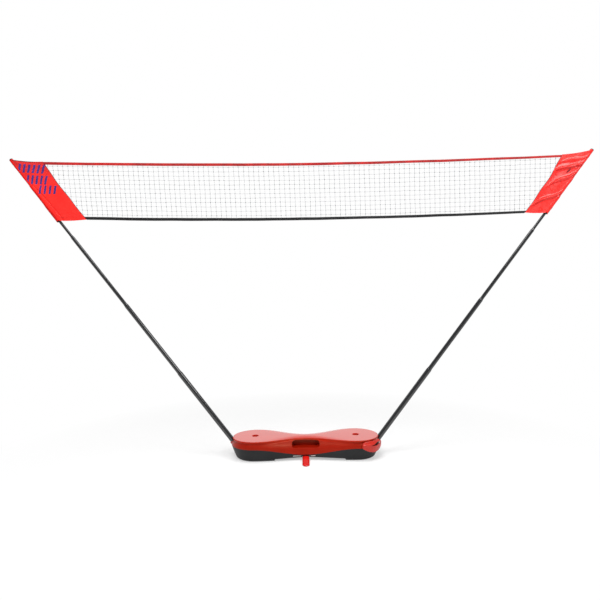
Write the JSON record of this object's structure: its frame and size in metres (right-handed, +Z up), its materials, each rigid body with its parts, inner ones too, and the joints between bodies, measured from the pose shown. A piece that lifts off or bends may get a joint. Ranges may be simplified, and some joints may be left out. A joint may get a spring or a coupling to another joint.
{
  "type": "portable badminton net set",
  "caption": "Badminton net on slanted telescopic poles that stand in a waisted carry case, with a hinged lid, a catch and a slide-out cross foot.",
  "frame": {"origin": "on the floor, below the middle of the case", "axes": "+X along the net to the right as seen from the front, -Y to the front, +Z up"},
  "size_m": [3.0188, 0.3434, 1.5587],
  "materials": {
    "red_plastic": "satin moulding",
    "black_plastic": "fine matte moulding",
    "black_metal": "satin black paint",
    "steel": "plain steel",
    "rubber": "matte",
    "red_cloth": "smooth woven cloth",
    "dark_red_tape": "woven tape",
    "black_tape": "woven tape",
    "net_twine": "thin knotted twine"
  },
  "bodies": {
    "case_base": {"lower_shell": "black_plastic", "base_pad_right": "rubber", "pole_socket_right": "red_plastic", "tube_1_right": "black_metal", "tube_plug_1_right": "black_plastic", "hinge_leaf_lower_right": "black_plastic", "hinge_pin_right": "steel", "lower_leaf_screw_inner_right": "steel", "lower_leaf_screw_outer_right": "steel", "base_pad_left": "rubber", "pole_socket_left": "red_plastic", "tube_1_left": "black_metal", "tube_plug_1_left": "black_plastic", "hinge_leaf_lower_left": "black_plastic", "hinge_pin_left": "steel", "lower_leaf_screw_inner_left": "steel", "lower_leaf_screw_outer_left": "steel", "catch_bracket": "black_plastic", "catch_pin": "steel"},
    "lid": {"upper_shell": "red_plastic", "strike_bar": "steel", "hinge_leaf_upper_right": "red_plastic", "upper_leaf_screw_inner_right": "steel", "upper_leaf_screw_outer_right": "steel", "hinge_leaf_upper_left": "red_plastic", "upper_leaf_screw_inner_left": "steel", "upper_leaf_screw_outer_left": "steel"},
    "foot": {"cross_foot": "red_plastic", "foot_pad_front": "rubber", "foot_pad_rear": "rubber"},
    "catch": {"catch_flap": "red_plastic"},
    "left_pole_2": {"tube_2_left": "black_metal", "tube_plug_2_left": "black_plastic"},
    "left_pole_3": {"tube_3_left": "black_metal", "tube_plug_3_left": "black_plastic"},
    "left_pole_4": {"tube_4_left": "black_metal", "tube_plug_4_left": "black_plastic", "tip_cap_left": "black_plastic", "end_panel_left": "red_cloth", "edge_binding_left": "black_tape"},
    "left_net": {"net_left": "net_twine", "top_tape_left": "dark_red_tape", "bottom_tape_left": "black_tape"},
    "right_pole_2": {"tube_2_right": "black_metal", "tube_plug_2_right": "black_plastic"},
    "right_pole_3": {"tube_3_right": "black_metal", "tube_plug_3_right": "black_plastic"},
    "right_pole_4": {"tube_4_right": "black_metal", "tube_plug_4_right": "black_plastic", "tip_cap_right": "black_plastic", "end_panel_right": "red_cloth", "edge_binding_right": "black_tape"},
    "right_net": {"net_right": "net_twine", "top_tape_right": "dark_red_tape", "bottom_tape_right": "black_tape"}
  },
  "joints": [
    {"name": "lid_hinge", "type": "hinge", "parent": "case_base", "child": "lid", "pos_m": [0, 0.1272, 0.061], "axis": [-1, 0, 0], "range_deg": [0, 90]},
    {"name": "catch_swing", "type": "hinge", "parent": "case_base", "child": "catch", "pos_m": [0.34077, -0.09081, 0.048], "axis": [0.7431, 0.6691, 0], "range_deg": [0, 55]},
    {"name": "foot_slide", "type": "slide", "parent": "case_base", "child": "foot", "axis": [0, -1, 0], "range_m": [0, 0.26]},
    {"name": "left_pole_2_slide", "type": "slide", "parent": "case_base", "child": "left_pole_2", "axis": [0.6081, 0, -0.7939], "range_m": [0, 0.33]},
    {"name": "left_pole_3_slide", "type": "slide", "parent": "left_pole_2", "child": "left_pole_3", "axis": [0.6081, 0, -0.7939], "range_m": [0, 0.33]},
    {"name": "left_pole_4_slide", "type": "slide", "parent": "left_pole_3", "child": "left_pole_4", "axis": [0.6081, 0, -0.7939], "range_m": [0, 0.33]},
    {"name": "left_net_gather", "type": "slide", "parent": "left_pole_4", "child": "left_net", "axis": [-1, 0, 0], "range_m": [0, 0.6025], "deforming": ["net_left", "top_tape_left", "bottom_tape_left"]},
    {"name": "right_pole_2_slide", "type": "slide", "parent": "case_base", "child": "right_pole_2", "axis": [-0.6081, 0, -0.7939], "range_m": [0, 0.33]},
    {"name": "right_pole_3_slide", "type": "slide", "parent": "right_pole_2", "child": "right_pole_3", "axis": [-0.6081, 0, -0.7939], "range_m": [0, 0.33]},
    {"name": "right_pole_4_slide", "type": "slide", "parent": "right_pole_3", "child": "right_pole_4", "axis": [-0.6081, 0, -0.7939], "range_m": [0, 0.33]},
    {"name": "right_net_gather", "type": "slide", "parent": "right_pole_4", "child": "right_net", "axis": [1, 0, 0], "range_m": [0, 0.6025], "deforming": ["net_right", "top_tape_right", "bottom_tape_right"]}
  ],
  "couplings": [
    {"joint": "left_pole_3_slide", "follows": "left_pole_2_slide", "ratio": 1},
    {"joint": "left_pole_4_slide", "follows": "left_pole_2_slide", "ratio": 1},
    {"joint": "left_net_gather", "follows": "left_pole_2_slide", "ratio": 1.8242},
    {"joint": "right_pole_2_slide", "follows": "left_pole_2_slide", "ratio": 1},
    {"joint": "right_pole_3_slide", "follows": "left_pole_2_slide", "ratio": 1},
    {"joint": "right_pole_4_slide", "follows": "left_pole_2_slide", "ratio": 1},
    {"joint": "right_net_gather", "follows": "left_pole_2_slide", "ratio": 1.8242}
  ]
}
